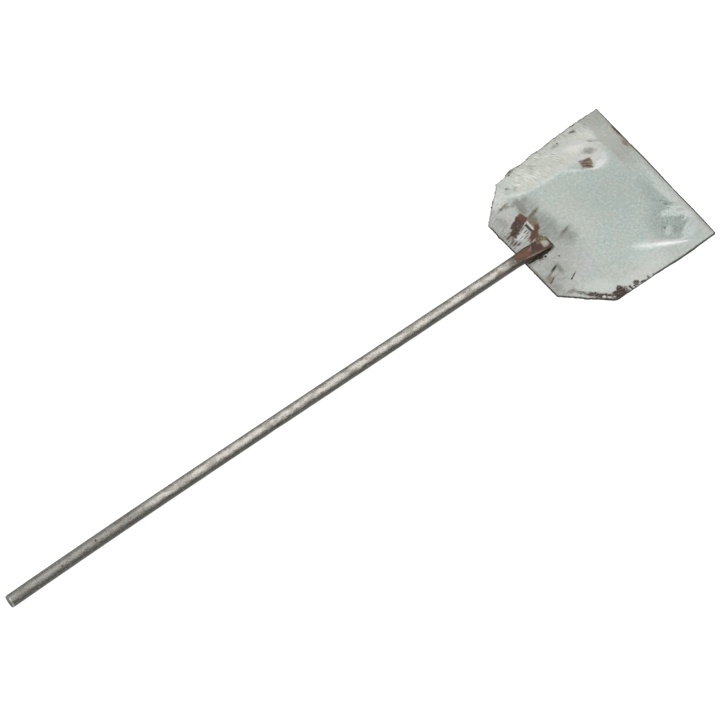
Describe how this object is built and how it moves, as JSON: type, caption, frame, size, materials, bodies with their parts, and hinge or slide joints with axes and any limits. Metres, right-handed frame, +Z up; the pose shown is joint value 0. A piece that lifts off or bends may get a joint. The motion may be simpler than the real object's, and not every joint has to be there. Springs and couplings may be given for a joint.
{
  "type": "flat scraper shovel",
  "caption": "Flat sheet-steel blade with clipped rear corners, welded to the flattened end of a long thin round-bar handle, for scraping and lifting loose soil or ash.",
  "frame": {"origin": "on the blade's underside, on the handle's line, halfway between the rear edge and the cutting edge", "axes": "+X from the handle to the cutting edge, +Y to the left of someone pushing it, +Z up out of the blade's upper face"},
  "size_m": [0.6444, 0.154, 0.0125],
  "materials": {
    "galvanised_sheet": "dull zinc-coated sheet, mottled and scuffed, with rust at the worn spots and along the clipped corner",
    "rod_steel": "bare round bar with patchy grey mill scale and light handling wear",
    "weld_steel": "dark burnt weld metal with brown rust",
    "tinted_weld": "yellow-green heat-tinted weld metal"
  },
  "bodies": {
    "root": {"blade": "galvanised_sheet", "handle_rod": "rod_steel", "weld_bead_left": "weld_steel", "weld_bead_right": "weld_steel", "weld_tack_tip": "tinted_weld"}
  },
  "joints": []
}
